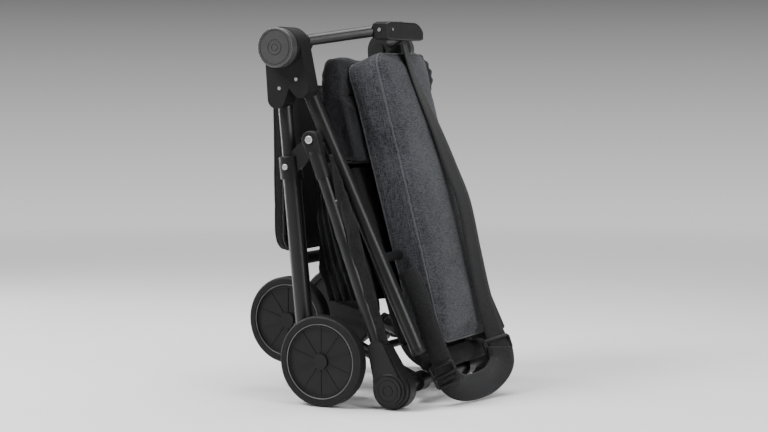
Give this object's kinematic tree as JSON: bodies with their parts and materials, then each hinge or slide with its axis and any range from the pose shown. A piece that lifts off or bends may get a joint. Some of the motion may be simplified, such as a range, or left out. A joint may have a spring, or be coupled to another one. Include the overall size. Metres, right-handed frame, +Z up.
{
  "type": "baby stroller",
  "caption": "Compact folding stroller standing folded, with telescopic rear legs, hinged seat frame, swivel casters, padded back, push handle and carry strap.",
  "frame": {"origin": "centre of the footprint of the folded stroller, on the floor", "axes": "+Z up; +X the direction of travel; +Y the child's left"},
  "size_m": [0.436, 0.45, 0.6335],
  "materials": {
    "satin_frame": "satin black powder coat on aluminium tube",
    "moulded_black": "fine grained black glass-filled nylon",
    "hub_cap": "dark grey satin cap",
    "bright_steel": "bright rivets and screws",
    "wheel_disc": "moulded disc",
    "tyre": "matt foam tyre",
    "button": "matt grey button",
    "grey_melange": "dark grey melange woven cloth",
    "black_fabric": "black woven cloth",
    "webbing": "black ribbed webbing"
  },
  "bodies": {
    "rear_frame": {"rear_tube_right": "satin_frame", "rear_tube_left": "satin_frame", "collar_right": "moulded_black", "collar_left": "moulded_black", "rear_bracket_right": "moulded_black", "rear_bracket_left": "moulded_black", "rear_cross_tube": "satin_frame", "rear_axle_pins": "bright_steel", "link_rivets": "bright_steel", "collar_rivets": "bright_steel"},
    "rear_wheel_right": {"rear_wheel_right_rim": "wheel_disc", "rear_wheel_right_tyre": "tyre"},
    "rear_wheel_left": {"rear_wheel_left_rim": "wheel_disc", "rear_wheel_left_tyre": "tyre"},
    "brake_pedal": {"brake_pedal": "moulded_black"},
    "handle_frame": {"hub_casting_right": "moulded_black", "hub_casting_left": "moulded_black", "hub_cap_right": "hub_cap", "hub_cap_left": "hub_cap", "slide_tube_right": "satin_frame", "slide_tube_left": "satin_frame", "back_tube_right": "satin_frame", "back_tube_left": "satin_frame", "slide_glides": "moulded_black", "back_tube_ends": "moulded_black", "back_cross_bar": "satin_frame", "casting_screws": "bright_steel", "back_pad": "grey_melange", "canopy_roll": "black_fabric", "rear_panel": "black_fabric", "strap_front": "webbing", "strap_back": "webbing", "shoulder_pad": "webbing", "strap_buckle": "moulded_black", "strap_adjuster": "moulded_black"},
    "push_handle": {"handle_arm_right": "satin_frame", "handle_arm_left": "satin_frame", "grip_block": "moulded_black", "grip_screws": "bright_steel"},
    "release_button": {"release_button": "button"},
    "seat_frame": {"link_tube_right": "satin_frame", "link_tube_left": "satin_frame", "link_fitting_right": "moulded_black", "link_fitting_left": "moulded_black", "foot_right": "moulded_black", "foot_left": "moulded_black", "foot_caps": "moulded_black", "side_tubes": "satin_frame", "foot_cross_tube": "satin_frame", "seat_sling": "black_fabric", "basket": "black_fabric"},
    "front_legs": {"front_leg_right": "satin_frame", "front_leg_left": "satin_frame", "front_leg_brace": "satin_frame"},
    "caster_right": {"caster_fork_right": "moulded_black"},
    "caster_left": {"caster_fork_left": "moulded_black"},
    "front_wheel_right": {"front_wheel_right_rim": "wheel_disc", "front_wheel_right_tyre": "tyre"},
    "front_wheel_left": {"front_wheel_left_rim": "wheel_disc", "front_wheel_left_tyre": "tyre"}
  },
  "joints": [
    {"name": "seat_fold", "type": "hinge", "parent": "rear_frame", "child": "seat_frame", "pos_m": [-0.044, 0, 0.436], "axis": [0, -1, 0], "range_deg": [0, 55.8], "deforming": ["seat_sling", "basket", "strap_front", "strap_back", "shoulder_pad", "strap_buckle", "strap_adjuster"]},
    {"name": "handle_slide", "type": "slide", "parent": "rear_frame", "child": "handle_frame", "axis": [-0.0976, 0, 0.9952], "range_m": [0, 0.262], "deforming": ["canopy_roll", "rear_panel"]},
    {"name": "front_leg_fold", "type": "hinge", "parent": "seat_frame", "child": "front_legs", "pos_m": [0.105, 0, 0.033], "axis": [0, -1, 0], "range_deg": [0, 54.2]},
    {"name": "push_handle_turn", "type": "hinge", "parent": "handle_frame", "child": "push_handle", "pos_m": [-0.093, 0, 0.587], "axis": [0, -1, 0], "range_deg": [0, 106]},
    {"name": "release_button_press", "type": "slide", "parent": "push_handle", "child": "release_button", "axis": [0, 0, -1], "range_m": [0, 0.0035], "stiffness_N_per_m": 400},
    {"name": "brake_pedal_lift", "type": "hinge", "parent": "rear_frame", "child": "brake_pedal", "pos_m": [-0.063, 0, 0.092], "axis": [0, 1, 0], "range_deg": [0, 20]},
    {"name": "rear_wheel_right_spin", "type": "hinge", "parent": "rear_frame", "child": "rear_wheel_right", "pos_m": [-0.011, -0.212, 0.075], "axis": [0, 1, 0], "continuous": true},
    {"name": "caster_right_swivel", "type": "hinge", "parent": "front_legs", "child": "caster_right", "pos_m": [-0.13899, -0.092, 0.13231], "axis": [0.9424, 0, -0.3344], "range_deg": [-180, 180]},
    {"name": "front_wheel_right_spin", "type": "hinge", "parent": "caster_right", "child": "front_wheel_right", "pos_m": [-0.143, -0.092, 0.121], "axis": [0, 1, 0], "continuous": true},
    {"name": "rear_wheel_left_spin", "type": "hinge", "parent": "rear_frame", "child": "rear_wheel_left", "pos_m": [-0.011, 0.212, 0.075], "axis": [0, 1, 0], "continuous": true},
    {"name": "caster_left_swivel", "type": "hinge", "parent": "front_legs", "child": "caster_left", "pos_m": [-0.13899, 0.092, 0.13231], "axis": [0.9424, 0, -0.3344], "range_deg": [-180, 180]},
    {"name": "front_wheel_left_spin", "type": "hinge", "parent": "caster_left", "child": "front_wheel_left", "pos_m": [-0.143, 0.092, 0.121], "axis": [0, 1, 0], "continuous": true}
  ],
  "couplings": [
    {"joint": "handle_slide", "follows": "seat_fold", "m_per_rad": 0.26902},
    {"joint": "front_leg_fold", "follows": "seat_fold", "ratio": 0.97133}
  ]
}
